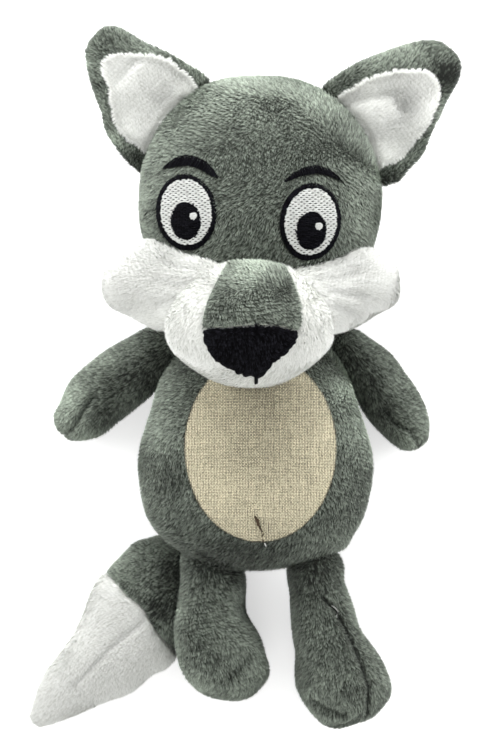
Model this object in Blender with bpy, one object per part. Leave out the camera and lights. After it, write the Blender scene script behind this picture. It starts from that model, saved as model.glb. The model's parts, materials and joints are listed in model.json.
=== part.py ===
# Plush wolf lying on its back: a stuffed toy sewn from plush, with a linen belly and embroidered eyes.
# Metres, +Z up. The toy looks up (+Z), its head is towards +Y, and its back rests on z = 0.
# The origin is on the flat spot of the torso's back.

import math

import bmesh
import bpy
from mathutils import Vector

# clearance between touching pieces, and the thickness of what is sewn or stitched on
GAP = 0.0003
LINEN_THICKNESS = 0.0010
PANEL_THICKNESS = 0.0014
STITCH_THICKNESS = 0.0009

# torso, a pear that is wider at the hips
TORSO_WIDTH = 0.0983
TORSO_HEIGHT = 0.117
TORSO_DEPTH = 0.064
TORSO_BOTTOM = -0.0474
TORSO_LEAN = -0.0019
BACK_FLATTENING = 0.002

# belly panel
BELLY_WIDTH = 0.064
BELLY_HEIGHT = 0.079
BELLY_CENTRE_UP = 0.053

# head, measured without ears and cheeks
HEAD_WIDTH = 0.1025
HEAD_HEIGHT = 0.1045
HEAD_DEPTH = 0.086
NECK_OVERLAP = 0.011

# ears
EAR_WIDTH = 0.048
EAR_THICKNESS = 0.010
EAR_CUP = 0.006
LEFT_EAR_LENGTH = 0.066
RIGHT_EAR_LENGTH = 0.069
EAR_RIM = 0.0065
LEFT_LINING_OFFSET = 0.001
RIGHT_LINING_OFFSET = 0.002

# cheeks and muzzle
CHEEK_HEIGHT = 0.0405
CHEEK_DEPTH = 0.036
LEFT_CHEEK_LENGTH = 0.062
RIGHT_CHEEK_LENGTH = 0.055
CHEEK_AHEAD_OF_HEAD_CENTRE = 0.015
MUZZLE_WIDTH = 0.070
MUZZLE_HEIGHT = 0.054
MUZZLE_DEPTH = 0.084
MUZZLE_BELOW_HEAD_CENTRE = 0.0528
MUZZLE_AHEAD_OF_HEAD_CENTRE = 0.022
BRIDGE_TOP_WIDTH = 0.024
BRIDGE_BOTTOM_WIDTH = 0.039
BRIDGE_HEIGHT = 0.028
NOSE_WIDTH = 0.038
NOSE_HEIGHT = 0.0205

# eyes and eyebrows
EYE_WIDTH = 0.0252
EYE_HEIGHT = 0.0318
EYE_OUTLINE = 0.0020
EYE_SPACING = 0.0505
EYE_LEAN = math.radians(9)
PUPIL_WIDTH = 0.0130
PUPIL_HEIGHT = 0.0156
HIGHLIGHT_SIZE = 0.0038
BROW_LENGTH = 0.0240
BROW_THICKNESS = 0.0042
BROW_RISE = 0.0048
BROW_ABOVE_EYE = 0.0160
BROW_OUT_OF_LINE = 0.0014
BROW_TURN = math.radians(13)

# arms, legs and tail
LEFT_ARM_WIDTH = 0.0272
RIGHT_ARM_WIDTH = 0.0238
ARM_THICKNESS = 0.023
LEFT_ARM_LENGTH = 0.0722
RIGHT_ARM_LENGTH = 0.0625
LEFT_LEG_WIDTH = 0.0290
RIGHT_LEG_WIDTH = 0.0255
FOOT_WIDTH = 0.0405
LEG_THICKNESS = 0.030
FOOT_THICKNESS = 0.038
LEFT_LEG_LENGTH = 0.0815
RIGHT_LEG_LENGTH = 0.0925
TAIL_WIDTH = 0.048
TAIL_THICKNESS = 0.026
TAIL_LENGTH = 0.122
TAIL_TIP_SHARE = 0.56
TAIL_TIP_HEIGHT = 0.0075

# the share of a limb's length over which it comes down to the surface
FALL_SHARE = 0.7

# how finely the soft forms are cut into facets
BODY_FACETS = (30, 19)
LIMB_FACETS = (18, 15)
SMALL_FACETS = (20, 14)

UP = Vector((0, 0, 1))

for old in list(bpy.context.scene.objects):
    bpy.data.objects.remove(old, do_unlink=True)

parts = bpy.data.collections.new("plush_wolf")
cutters = bpy.data.collections.new("plush_wolf_cutters")
bpy.context.scene.collection.children.link(parts)
bpy.context.scene.collection.children.link(cutters)


def make_material(name, colour, roughness):
    material = bpy.data.materials.new(name)
    material.use_nodes = True
    shader = material.node_tree.nodes["Principled BSDF"]
    shader.inputs["Base Color"].default_value = (*colour, 1)
    shader.inputs["Roughness"].default_value = roughness
    shader.inputs["Metallic"].default_value = 0
    return material


GREY_PLUSH = make_material("grey_plush", (0.14, 0.16, 0.14), 0.9)
WHITE_PLUSH = make_material("white_plush", (0.80, 0.81, 0.78), 0.9)
BLACK_PLUSH = make_material("black_plush", (0.010, 0.010, 0.012), 0.85)
LINEN = make_material("linen", (0.47, 0.41, 0.27), 0.8)
BLACK_THREAD = make_material("black_thread", (0.010, 0.010, 0.014), 0.45)
WHITE_THREAD = make_material("white_thread", (0.78, 0.78, 0.76), 0.45)


def add_object(name, mesh, material=None, collection=parts):
    mesh.name = name
    obj = bpy.data.objects.new(name, mesh)
    collection.objects.link(obj)
    if material:
        mesh.materials.clear()
        mesh.materials.append(material)
    if collection is cutters:
        obj.hide_render = True
        obj.display_type = "WIRE"
    return obj


def along_profile(values, t):
    """A smooth value at t (0 to 1) through evenly spaced values."""
    last = len(values) - 1
    at = min(t, 1.0) * last
    i = min(int(at), last - 1)
    f = at - i
    before, a, b, after = (values[max(0, min(last, k))] for k in (i - 1, i, i + 1, i + 2))
    return a + 0.5 * f * (b - before + f * (2 * before - 5 * a + 4 * b - after
                                             + f * (3 * (a - b) + after - before)))


def stuffed(name, material, root, heading, length, width, thickness,
            wide=(1, 1), thick=(1, 1), bend=0, rest=None, round_end=0.65,
            cup=0, facets=LIMB_FACETS):
    """A stuffed form: a sphere drawn out along an arc from root, flat where it meets z = 0.

    heading and bend are degrees seen from above, wide and thick are shares of width and
    thickness along the arc, and rest is the height of the middle line at the far end.
    """
    bm = bmesh.new()
    bmesh.ops.create_uvsphere(bm, u_segments=facets[0], v_segments=facets[1], radius=1)
    rest = root.z if rest is None else rest
    for vert in bm.verts:
        t = (1 + vert.co.z) / 2
        ring = math.hypot(vert.co.x, vert.co.y)
        across = ring ** (round_end - 1) * vert.co.x if ring > 1e-6 else 0
        above = ring ** (round_end - 1) * vert.co.y if ring > 1e-6 else 0
        start = math.radians(heading - bend / 2)
        turn = math.radians(bend) * t
        ahead = length * t * math.sin(turn / 2 + 1e-9) / (turn / 2 + 1e-9)
        middle = root + ahead * Vector((math.cos(start + turn / 2), math.sin(start + turn / 2), 0))
        fall = min(1, t / FALL_SHARE)
        middle.z = root.z + (rest - root.z) * fall * fall * (3 - 2 * fall)
        side = UP.cross(Vector((math.cos(start + turn), math.sin(start + turn), 0)))
        half_width = width / 2 * along_profile(wide, t)
        half_thickness = thickness / 2 * along_profile(thick, t)
        vert.co = middle + side * half_width * across + UP * half_thickness * above
        vert.co.z += cup * across * across * math.sin(math.pi * min(1, 0.25 + t * 0.75))
        vert.co.z = max(0, vert.co.z)
    mesh = bpy.data.meshes.new(name)
    bm.to_mesh(mesh)
    bm.free()
    mesh.shade_smooth()
    return add_object(name, mesh, material)


def grown(carrier, amount):
    """A hidden copy of a form's own shape, larger by amount all round."""
    copy = add_object(f"{carrier.name}_grown", carrier.data.copy(), collection=cutters)
    swell = copy.modifiers.new("grow", "DISPLACE")
    swell.strength = amount
    swell.mid_level = 0
    return copy


def boolean(obj, operation, cutter):
    cut = obj.modifiers.new(f"{operation.lower()} {cutter.name}", "BOOLEAN")
    cut.solver = "EXACT"
    cut.operation = operation
    cut.object = cutter


def clear_of(obj, carriers, clearance=GAP):
    """Cut obj back so that it lies against each carrier with a clearance."""
    for carrier in carriers:
        boolean(obj, "DIFFERENCE", grown(carrier, clearance))


def oval_prism(name, centre, width, height, lean, low, high, facets=28):
    bm = bmesh.new()
    bmesh.ops.create_cone(bm, cap_ends=True, segments=facets, radius1=1, radius2=1, depth=1)
    for vert in bm.verts:
        x = vert.co.x * width / 2
        y = vert.co.y * height / 2
        vert.co = Vector((
            centre.x + x * math.cos(lean) - y * math.sin(lean),
            centre.y + x * math.sin(lean) + y * math.cos(lean),
            low + (vert.co.z + 0.5) * (high - low),
        ))
    mesh = bpy.data.meshes.new(name)
    bm.to_mesh(mesh)
    bm.free()
    return add_object(f"{name}_prism", mesh, collection=cutters)


def outline_prism(name, points, low, high, corners=(), steps=4):
    """An upright prism on a smooth closed outline, with sharp corners where listed."""
    curve = bpy.data.curves.new(name, "CURVE")
    curve.dimensions = "2D"
    curve.fill_mode = "BOTH"
    curve.extrude = (high - low) / 2
    curve.resolution_u = steps
    spline = curve.splines.new("BEZIER")
    spline.use_cyclic_u = True
    spline.bezier_points.add(len(points) - 1)
    for index, (bezier, point) in enumerate(zip(spline.bezier_points, points)):
        bezier.co = (point[0], point[1], 0)
        kind = "VECTOR" if index in corners else "AUTO"
        bezier.handle_left_type = kind
        bezier.handle_right_type = kind
    drawn = bpy.data.objects.new(name, curve)
    drawn.location.z = (low + high) / 2
    cutters.objects.link(drawn)
    bpy.context.view_layer.update()
    solid = drawn.evaluated_get(bpy.context.evaluated_depsgraph_get())
    mesh = bpy.data.meshes.new_from_object(solid)
    mesh.transform(drawn.matrix_world)
    bpy.data.objects.remove(drawn, do_unlink=True)
    bm = bmesh.new()
    bm.from_mesh(mesh)
    bmesh.ops.remove_doubles(bm, verts=bm.verts, dist=0.00001)
    bmesh.ops.recalc_face_normals(bm, faces=bm.faces)
    bm.to_mesh(mesh)
    bm.free()
    return add_object(f"{name}_prism", mesh, collection=cutters)


def patch(name, material, carrier, prism, thickness, holes=(), neighbours=()):
    """A piece of cloth or stitching that lies on a carrier's surface inside a prism."""
    skin = add_object(name, carrier.data.copy(), material)
    swell = skin.modifiers.new("grow", "DISPLACE")
    swell.strength = GAP + thickness
    swell.mid_level = 0
    boolean(skin, "INTERSECT", prism)
    boolean(skin, "DIFFERENCE", grown(carrier, GAP))
    for hole in holes:
        boolean(skin, "DIFFERENCE", hole)
    clear_of(skin, neighbours)
    return skin


# torso
torso_middle = TORSO_DEPTH / 2 - BACK_FLATTENING
torso = stuffed("torso", GREY_PLUSH, Vector((TORSO_LEAN, TORSO_BOTTOM, torso_middle)), 90,
                TORSO_HEIGHT, TORSO_WIDTH, TORSO_DEPTH, wide=(1.30, 1.08, 0.91, 0.73),
                thick=(1.10, 1.04, 0.98, 0.80), round_end=1, facets=BODY_FACETS)


def in_torso(across, up, height):
    """A point inside the torso, as shares of its half width, its height and its depth."""
    return Vector((TORSO_LEAN + across * TORSO_WIDTH / 2, TORSO_BOTTOM + up * TORSO_HEIGHT,
                   height * TORSO_DEPTH))


# head
head_centre = Vector((0, TORSO_BOTTOM + TORSO_HEIGHT - NECK_OVERLAP + HEAD_HEIGHT / 2,
                      HEAD_DEPTH / 2 - BACK_FLATTENING))
head = stuffed("head", GREY_PLUSH, head_centre - Vector((0, HEAD_HEIGHT / 2, 0)), 90,
               HEAD_HEIGHT, HEAD_WIDTH, HEAD_DEPTH, wide=(1, 1.01, 1, 0.98),
               round_end=0.84, facets=BODY_FACETS)
clear_of(head, [torso])


def in_head(across, up, height):
    """A point by shares of the head's half width, half height and half depth from its centre."""
    return head_centre + Vector((across * HEAD_WIDTH / 2, up * HEAD_HEIGHT / 2, height * HEAD_DEPTH / 2))


# arms, which lie on the surface at the paws
arm_profile = {"wide": (0.82, 0.98, 1.06, 1.04), "thick": (0.85, 1, 1.02, 0.98),
               "rest": ARM_THICKNESS / 2 - BACK_FLATTENING / 2}
left_arm = stuffed("left_arm", GREY_PLUSH, in_torso(-0.585, 0.88, 0.42), 217.5, LEFT_ARM_LENGTH,
                   LEFT_ARM_WIDTH, ARM_THICKNESS, bend=12, **arm_profile)
right_arm = stuffed("right_arm", GREY_PLUSH, in_torso(0.69, 0.880, 0.42), -55, RIGHT_ARM_LENGTH,
                    RIGHT_ARM_WIDTH, ARM_THICKNESS, bend=-24, **arm_profile)
for arm in (left_arm, right_arm):
    clear_of(arm, [torso, head])

# legs, which widen to the feet
leg_profile = {"thick": (1, 1, FOOT_THICKNESS / LEG_THICKNESS, FOOT_THICKNESS / LEG_THICKNESS),
               "rest": FOOT_THICKNESS / 2 - BACK_FLATTENING / 2, "round_end": 0.55}
left_foot = FOOT_WIDTH / LEFT_LEG_WIDTH
left_leg = stuffed("left_leg", GREY_PLUSH, in_torso(-0.42, 0.20, 0.40), -83, LEFT_LEG_LENGTH,
                   LEFT_LEG_WIDTH, LEG_THICKNESS, bend=8, wide=(1, 0.95, left_foot, left_foot),
                   **leg_profile)
right_foot = FOOT_WIDTH / RIGHT_LEG_WIDTH
right_leg = stuffed("right_leg", GREY_PLUSH, in_torso(0.445, 0.20, 0.40), -76.5, RIGHT_LEG_LENGTH,
                    RIGHT_LEG_WIDTH, LEG_THICKNESS, bend=18, wide=(1.12, 0.87, right_foot, right_foot),
                    **leg_profile)
clear_of(left_leg, [torso])
clear_of(right_leg, [torso, left_leg])

# tail, in two cloths that meet at a seam across it
tail_root = in_torso(-0.30, 0.165, 0.20)
tail_heading = 227
tail_shape = {"wide": (0.55, 0.94, 1.0, 0.78, 0.42), "thick": (0.7, 1, 1, 0.85, 0.45),
              "rest": TAIL_TIP_HEIGHT, "facets": (20, 18), "round_end": 0.75}
seam_across = Vector((math.cos(math.radians(tail_heading)), math.sin(math.radians(tail_heading)), 0))
seam_point = tail_root + (1 - TAIL_TIP_SHARE) * TAIL_LENGTH * seam_across


def cut_at_seam(obj, direction):
    """Keep one side of the tail's seam and close the cut."""
    bm = bmesh.new()
    bm.from_mesh(obj.data)
    bmesh.ops.bisect_plane(bm, geom=bm.verts[:] + bm.edges[:] + bm.faces[:],
                           plane_co=seam_point + direction * GAP / 2 * seam_across,
                           plane_no=direction * seam_across, clear_inner=True)
    bmesh.ops.holes_fill(bm, edges=[edge for edge in bm.edges if edge.is_boundary])
    bm.to_mesh(obj.data)
    bm.free()


for piece, cloth, direction in (("tail_base", GREY_PLUSH, -1), ("tail_tip", WHITE_PLUSH, 1)):
    tail = stuffed(piece, cloth, tail_root, tail_heading, TAIL_LENGTH, TAIL_WIDTH, TAIL_THICKNESS,
                   **tail_shape)
    cut_at_seam(tail, direction)
    clear_of(tail, [torso, left_leg])

# cheeks, two lobes that run out from under the muzzle
cheek_profile = {"wide": (0.60, 0.78, 1.0, 0.88), "thick": (0.7, 0.9, 1, 0.9)}
left_cheek = stuffed("left_cheek", WHITE_PLUSH, in_head(-0.10, -0.81, 0.80), 172, LEFT_CHEEK_LENGTH,
                     CHEEK_HEIGHT, CHEEK_DEPTH, rest=head_centre.z + CHEEK_AHEAD_OF_HEAD_CENTRE,
                     facets=SMALL_FACETS, **cheek_profile)
right_cheek = stuffed("right_cheek", WHITE_PLUSH, in_head(0.08, -0.86, 0.80), 10, RIGHT_CHEEK_LENGTH,
                      CHEEK_HEIGHT, CHEEK_DEPTH, rest=head_centre.z + CHEEK_AHEAD_OF_HEAD_CENTRE,
                      facets=SMALL_FACETS, **cheek_profile)
over_belly = GAP + LINEN_THICKNESS + GAP
for cheek in (left_cheek, right_cheek):
    clear_of(cheek, [head, left_arm, right_arm])
    clear_of(cheek, [torso], over_belly)
clear_of(right_cheek, [left_cheek])

# muzzle, a dome with a grey bridge and a black nose sewn on
muzzle_centre = head_centre + Vector((-0.0043, -MUZZLE_BELOW_HEAD_CENTRE, MUZZLE_AHEAD_OF_HEAD_CENTRE))
muzzle = stuffed("muzzle", WHITE_PLUSH, muzzle_centre - Vector((0, MUZZLE_HEIGHT / 2, 0)), 90,
                 MUZZLE_HEIGHT, MUZZLE_WIDTH, MUZZLE_DEPTH, wide=(0.80, 1, 1, 0.9),
                 round_end=0.85, facets=(28, 17))
clear_of(muzzle, [head, left_cheek, right_cheek])
clear_of(muzzle, [torso], over_belly)

panel_low = muzzle_centre.z
panel_high = panel_low + MUZZLE_DEPTH
nose_top = muzzle_centre.y - 0.0025
bridge = outline_prism("muzzle_bridge", [
    (muzzle_centre.x - BRIDGE_TOP_WIDTH / 2, nose_top + BRIDGE_HEIGHT),
    (muzzle_centre.x + BRIDGE_TOP_WIDTH / 2, nose_top + BRIDGE_HEIGHT),
    (muzzle_centre.x + BRIDGE_BOTTOM_WIDTH * 0.45, nose_top + BRIDGE_HEIGHT * 0.55),
    (muzzle_centre.x + BRIDGE_BOTTOM_WIDTH / 2, nose_top + GAP),
    (muzzle_centre.x - BRIDGE_BOTTOM_WIDTH / 2, nose_top + GAP),
    (muzzle_centre.x - BRIDGE_BOTTOM_WIDTH * 0.45, nose_top + BRIDGE_HEIGHT * 0.55),
], panel_low, panel_high, corners=(0, 1, 3, 4))
patch("muzzle_bridge", GREY_PLUSH, muzzle, bridge, PANEL_THICKNESS,
      neighbours=[head, left_cheek, right_cheek])
nose = outline_prism("nose", [
    (muzzle_centre.x - NOSE_WIDTH / 2, nose_top),
    (muzzle_centre.x + NOSE_WIDTH / 2, nose_top),
    (muzzle_centre.x + NOSE_WIDTH * 0.45, nose_top - NOSE_HEIGHT * 0.40),
    (muzzle_centre.x + NOSE_WIDTH * 0.24, nose_top - NOSE_HEIGHT * 0.82),
    (muzzle_centre.x, nose_top - NOSE_HEIGHT),
    (muzzle_centre.x - NOSE_WIDTH * 0.24, nose_top - NOSE_HEIGHT * 0.82),
    (muzzle_centre.x - NOSE_WIDTH * 0.45, nose_top - NOSE_HEIGHT * 0.40),
], panel_low, panel_high, corners=(0, 1))
patch("nose", BLACK_PLUSH, muzzle, nose, PANEL_THICKNESS, neighbours=[left_cheek, right_cheek])

# belly panel
belly_centre = Vector((0, TORSO_BOTTOM + BELLY_CENTRE_UP, 0))
belly = oval_prism("belly_panel", belly_centre, BELLY_WIDTH, BELLY_HEIGHT, 0, torso_middle,
                   TORSO_DEPTH * 2, facets=40)
patch("belly_panel", LINEN, torso, belly, LINEN_THICKNESS)

# ears, cupped towards the face, each with a white lining
ears = (
    ("left_ear", in_head(-0.556, 0.388, 0.0), 130, LEFT_EAR_LENGTH, -LEFT_LINING_OFFSET),
    ("right_ear", in_head(0.60, 0.34, 0.0), 43, RIGHT_EAR_LENGTH, -RIGHT_LINING_OFFSET),
)
for name, root, heading, length, lining_offset in ears:
    ear = stuffed(name, GREY_PLUSH, root, heading, length, EAR_WIDTH, EAR_THICKNESS,
                  wide=(1.48, 1.05, 0.75, 0.60), thick=(1.1, 1, 1, 0.9), cup=EAR_CUP,
                  facets=SMALL_FACETS)
    clear_of(ear, [head])
    forward = Vector((math.cos(math.radians(heading)), math.sin(math.radians(heading)), 0))
    side = UP.cross(forward)
    inner = EAR_WIDTH / 2 - EAR_RIM
    edge = [root + forward * length * ahead + side * (inner * across + lining_offset) for ahead, across in (
        (0.10, -1.05), (0.42, -1.0), (0.61, -0.72), (0.76, -0.32), (0.76, 0.32), (0.61, 0.72),
        (0.42, 1.0), (0.10, 1.05))]
    lining = outline_prism(f"{name}_lining", edge, root.z, root.z + HEAD_DEPTH, corners=(0, 7))
    back = grown(ear, GAP)
    back.location.z = -(PANEL_THICKNESS + 4 * GAP)
    sewn = patch(f"{name}_lining", WHITE_PLUSH, ear, lining, PANEL_THICKNESS, holes=[back],
                 neighbours=[head])
    for modifier in sewn.modifiers:
        if modifier.type == "BOOLEAN":
            modifier.solver = "MANIFOLD"

# eyes and eyebrows, embroidered on the head
eye_low = head_centre.z
eye_high = eye_low + HEAD_DEPTH
face = [left_cheek, right_cheek, muzzle]
eyes = (
    ("left", Vector((-EYE_SPACING * 0.602, head_centre.y - 0.0074, 0)), EYE_LEAN, 1),
    ("right", Vector((EYE_SPACING * 0.398, head_centre.y - 0.0116, 0)), -EYE_LEAN, -1),
)
for side_name, centre, lean, outward in eyes:
    white_width = EYE_WIDTH - 2 * EYE_OUTLINE
    white_height = EYE_HEIGHT - 2 * EYE_OUTLINE
    pupil_centre = centre + Vector((0, -0.115 * EYE_HEIGHT, 0))
    glint_centre = pupil_centre + Vector((0.24 * PUPIL_WIDTH, 0.12 * PUPIL_HEIGHT, 0))

    def prism(label, middle, width, height):
        return oval_prism(f"{side_name}_{label}", middle, width, height, lean, eye_low, eye_high)

    patch(f"{side_name}_eye_outline", BLACK_THREAD, head,
          prism("outline", centre, EYE_WIDTH, EYE_HEIGHT), STITCH_THICKNESS,
          holes=[prism("white_hole", centre, white_width + 2 * GAP, white_height + 2 * GAP)],
          neighbours=face)
    patch(f"{side_name}_eye_white", WHITE_THREAD, head,
          prism("white", centre, white_width, white_height), STITCH_THICKNESS,
          holes=[prism("pupil_hole", pupil_centre, PUPIL_WIDTH + 2 * GAP, PUPIL_HEIGHT + 2 * GAP)],
          neighbours=face)
    patch(f"{side_name}_pupil", BLACK_THREAD, head,
          prism("pupil", pupil_centre, PUPIL_WIDTH, PUPIL_HEIGHT), STITCH_THICKNESS,
          holes=[prism("glint_hole", glint_centre, HIGHLIGHT_SIZE + 2 * GAP, HIGHLIGHT_SIZE + 2 * GAP)])
    patch(f"{side_name}_eye_highlight", WHITE_THREAD, head,
          prism("glint", glint_centre, HIGHLIGHT_SIZE, HIGHLIGHT_SIZE), STITCH_THICKNESS)

    brow_middle = centre + Vector((BROW_OUT_OF_LINE, BROW_ABOVE_EYE, 0))
    brow_turn = -BROW_TURN if outward > 0 else 0
    shape = []
    for across, thick in ((-0.5, 0), (-0.24, 0.9), (0.08, 1.0), (0.5, 0), (0.10, -1.0), (-0.22, -0.9)):
        x = across * BROW_LENGTH
        y = BROW_RISE * (1 - 4 * across * across) + thick * BROW_THICKNESS / 2
        shape.append((brow_middle.x + x * math.cos(brow_turn) - y * math.sin(brow_turn),
                      brow_middle.y + x * math.sin(brow_turn) + y * math.cos(brow_turn)))
    brow = outline_prism(f"{side_name}_eyebrow", shape, eye_low, eye_high, corners=(0, 3))
    patch(f"{side_name}_eyebrow", BLACK_THREAD, head, brow, STITCH_THICKNESS)
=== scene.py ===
import json
import math

import bmesh
import bpy
import numpy as np
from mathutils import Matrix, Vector
from mathutils.bvhtree import BVHTree
from mathutils.kdtree import KDTree

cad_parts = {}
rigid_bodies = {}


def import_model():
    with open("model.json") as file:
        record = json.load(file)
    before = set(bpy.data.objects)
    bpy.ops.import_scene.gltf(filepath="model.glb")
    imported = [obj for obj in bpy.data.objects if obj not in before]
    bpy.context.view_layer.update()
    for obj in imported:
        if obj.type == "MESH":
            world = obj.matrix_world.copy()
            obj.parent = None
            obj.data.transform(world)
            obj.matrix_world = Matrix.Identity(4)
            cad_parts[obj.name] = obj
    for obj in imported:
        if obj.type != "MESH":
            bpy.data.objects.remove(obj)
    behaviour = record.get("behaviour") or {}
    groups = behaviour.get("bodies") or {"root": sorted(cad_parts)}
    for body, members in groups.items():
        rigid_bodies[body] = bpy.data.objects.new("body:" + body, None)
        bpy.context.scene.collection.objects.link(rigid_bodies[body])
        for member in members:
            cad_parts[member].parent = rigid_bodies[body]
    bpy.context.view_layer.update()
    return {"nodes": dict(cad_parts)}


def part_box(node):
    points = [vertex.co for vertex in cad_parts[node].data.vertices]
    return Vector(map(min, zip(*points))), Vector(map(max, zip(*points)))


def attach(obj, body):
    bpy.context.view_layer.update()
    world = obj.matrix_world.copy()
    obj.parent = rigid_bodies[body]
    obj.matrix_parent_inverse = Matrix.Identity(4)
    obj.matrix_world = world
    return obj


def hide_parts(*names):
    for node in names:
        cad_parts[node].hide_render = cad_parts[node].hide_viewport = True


for leftover in list(bpy.data.objects):
    bpy.data.objects.remove(leftover, do_unlink=True)
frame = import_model()
scene = bpy.context.scene
print("frame loaded:", len(frame["nodes"]), "nodes")

# the photograph: its size in pixels, and what it spans at a given height above the surface, in metres
photo = {"width": 477, "height": 750, "span": 0.320, "depth": 0.035, "cameraHeight": 1.12,
         "centre": (-0.0092, 0.0363)}
pixelSize = photo["span"] / photo["height"]


# the point at a height above the surface that shows at a pixel of the photograph
def fromPhoto(pixel, height):
    scale = pixelSize * (photo["cameraHeight"] - height) / (photo["cameraHeight"] - photo["depth"])
    return np.array((photo["centre"][0] + (pixel[0] - photo["width"] / 2) * scale,
                     photo["centre"][1] + (photo["height"] / 2 - pixel[1]) * scale))


# camera, straight above the toy
cameraData = bpy.data.cameras.new("camera")
cameraData.sensor_width = 36
cameraData.lens = cameraData.sensor_width * (photo["cameraHeight"] - photo["depth"]) / photo["span"]
camera = bpy.data.objects.new("camera", cameraData)
camera.location = (*photo["centre"], photo["cameraHeight"])
scene.collection.objects.link(camera)
scene.camera = camera
scene.view_settings.view_transform = "Standard"

# studio: soft boxes at the sides, beyond the head and at the feet, and an even world
studio = {"world": 0.50, "worldColour": (1.0, 1.0, 0.985), "floorColour": (0.90, 0.90, 0.90),
          "floorGlow": 0.50, "floorSize": 9.0}
softBoxes = {
    "soft_box_left": {"at": (-0.95, 0.30, 0.42), "size": 0.7, "watts": 8.5},
    "soft_box_right": {"at": (0.95, 0.30, 0.42), "size": 0.7, "watts": 9.5},
    "soft_box_head": {"at": (-0.05, 1.05, 0.50), "size": 0.8, "watts": 20.0},
    "soft_box_feet": {"at": (-0.10, -0.95, 0.45), "size": 0.8, "watts": 5.0},
}
for name, box in softBoxes.items():
    lamp = bpy.data.lights.new(name, "AREA")
    lamp.size = box["size"]
    lamp.energy = box["watts"]
    holder = bpy.data.objects.new(name, lamp)
    holder.location = box["at"]
    holder.rotation_mode = "QUATERNION"
    holder.rotation_quaternion = (Vector((0, 0.03, 0.03)) - holder.location).to_track_quat("-Z", "Y")
    scene.collection.objects.link(holder)
world = bpy.data.worlds.new("studio")
world.use_nodes = True
world.node_tree.nodes["Background"].inputs["Color"].default_value = (*studio["worldColour"], 1)
world.node_tree.nodes["Background"].inputs["Strength"].default_value = studio["world"]
scene.world = world


# sets a node's inputs to values, or links them where a socket is given
def fillInputs(tree, node, inputs):
    for socket, value in inputs.items():
        if isinstance(value, bpy.types.NodeSocket):
            tree.links.new(value, node.inputs[socket])
        else:
            node.inputs[socket].default_value = value


def addNode(tree, kind, inputs=None, **settings):
    node = tree.nodes.new(kind)
    for setting, value in settings.items():
        setattr(node, setting, value)
    fillInputs(tree, node, inputs or {})
    return node


def mathOf(tree, operation, *values):
    return addNode(tree, "ShaderNodeMath", dict(enumerate(values)), operation=operation).outputs[0]


# a shader group with named inputs and outputs
def newGroup(name, inputs, outputs):
    group = bpy.data.node_groups.new(name, "ShaderNodeTree")
    for way, sockets in (("INPUT", inputs), ("OUTPUT", outputs)):
        for label, kind in sockets.items():
            group.interface.new_socket(name=label, in_out=way, socket_type=f"NodeSocket{kind}")
    return group, group.nodes.new("NodeGroupInput"), group.nodes.new("NodeGroupOutput")


def principled(name):
    material = bpy.data.materials.new(name)
    material.use_nodes = True
    return material, material.node_tree, material.node_tree.nodes["Principled BSDF"]


# a mesh of what a bmesh holds
def meshFrom(bm, name):
    mesh = bpy.data.meshes.new(name)
    bm.to_mesh(mesh)
    bm.free()
    return mesh


def makeFloor():
    material, tree, shader = principled("studio_floor")
    # the camera and reflections see a floor that is nearly white and keeps the toy's shadow
    path = tree.nodes.new("ShaderNodeLightPath")
    seen = mathOf(tree, "MAXIMUM", path.outputs["Is Camera Ray"], path.outputs["Is Glossy Ray"])
    seen = mathOf(tree, "MAXIMUM", seen, path.outputs["Is Transmission Ray"])
    fillInputs(tree, shader, {
        "Base Color": (*studio["floorColour"], 1), "Roughness": 0.9, "Specular IOR Level": 0.1,
        "Emission Color": (1, 1, 1, 1), "Emission Strength": mathOf(tree, "MULTIPLY", seen, studio["floorGlow"])})
    bm = bmesh.new()
    bmesh.ops.create_grid(bm, x_segments=1, y_segments=1, size=studio["floorSize"] / 2)
    mesh = meshFrom(bm, "studio_floor")
    mesh.materials.append(material)
    floor = bpy.data.objects.new("studio_floor", mesh)
    scene.collection.objects.link(floor)


makeFloor()
print("studio ready")


# colour of plush: dark at the roots and light at the tips, which paints shade deep in the pile, with tufts of random
# tone, brushed patches of painted light and shade, and noise patches
def makePileTone():
    inputs = {"Tip Colour": "Color", "Shaded Root Colour": "Color", "Tuft Contrast": "Float", "Patch Contrast": "Float"}
    group, inlet, outlet = newGroup("pileTone", inputs, {"Colour": "Color"})
    given = inlet.outputs
    along = addNode(group, "ShaderNodeAttribute", attribute_name="along")
    tuft = addNode(group, "ShaderNodeAttribute", attribute_name="tuft")
    place = group.nodes.new("ShaderNodeTexCoord")
    patch = addNode(group, "ShaderNodeTexNoise", {"Vector": place.outputs["Object"], "Scale": 55, "Detail": 3})
    mixed = addNode(group, "ShaderNodeMix", {
        "Factor": along.outputs["Fac"], "A": given["Shaded Root Colour"], "B": given["Tip Colour"]}, data_type="RGBA")

    # 1 + (value - 0.5) * contrast
    def around(value, contrast):
        return mathOf(group, "MULTIPLY_ADD", mathOf(group, "SUBTRACT", value, 0.5), contrast, 1)

    both = mathOf(group, "MULTIPLY", around(tuft.outputs["Fac"], given["Tuft Contrast"]),
                  around(patch.outputs["Fac"], given["Patch Contrast"]))
    darkest = 0.08
    tinted = addNode(group, "ShaderNodeVectorMath", {
        0: mixed.outputs["Result"], "Scale": mathOf(group, "MAXIMUM", both, darkest)}, operation="SCALE")
    group.links.new(tinted.outputs["Vector"], outlet.inputs["Colour"])
    return group


pileTone = makePileTone()
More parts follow.
